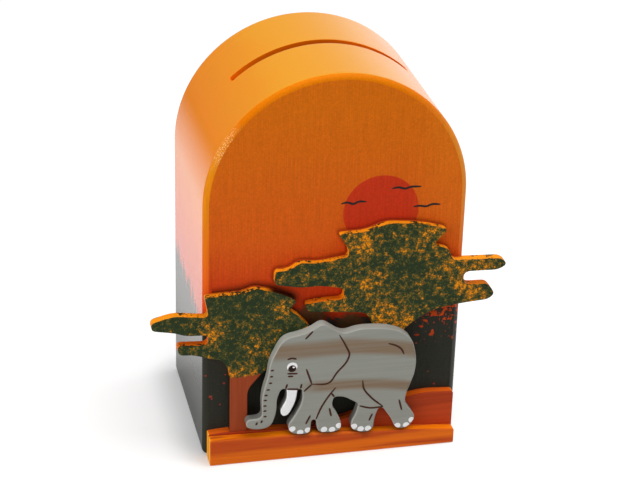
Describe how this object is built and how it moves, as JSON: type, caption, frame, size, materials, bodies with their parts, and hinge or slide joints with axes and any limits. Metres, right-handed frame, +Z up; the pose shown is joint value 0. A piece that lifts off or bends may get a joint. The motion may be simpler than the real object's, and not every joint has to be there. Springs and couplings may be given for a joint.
{
  "type": "wooden money box",
  "caption": "Arched wooden money box with a coin slot across its crown, a rubber bung in its base and a painted cut-out scene of an elephant and flat-topped trees on its front.",
  "frame": {"origin": "centre of the bounding box at the surface that the box stands on", "axes": "+Z up, -Y out of the front with the scene, +X to the right seen from the front"},
  "size_m": [0.1564, 0.088, 0.178],
  "materials": {
    "painted_box": "satin stain fading from orange to red and black",
    "bare_wood": "plain sanded",
    "bung_rubber": "matte",
    "ground_stain": "satin brown-orange stain",
    "tree_paint": "sponged green paint over orange stain",
    "elephant_paint": "thin grey paint with the grain showing through"
  },
  "bodies": {
    "box": {"front_panel": "painted_box", "front_frame": "painted_box", "mid_front_frame": "painted_box", "mid_rear_frame": "painted_box", "rear_frame": "painted_box", "back_panel": "painted_box", "base_board": "bare_wood", "frame_dowels": "bare_wood", "rear_ground": "ground_stain", "small_tree": "tree_paint", "large_tree": "tree_paint", "front_ground": "ground_stain", "elephant": "elephant_paint"},
    "bung": {"bung": "bung_rubber"}
  },
  "joints": [
    {"name": "bung_pull", "type": "slide", "parent": "box", "child": "bung", "axis": [0, 0, -1], "range_m": [0, 0.03]}
  ]
}
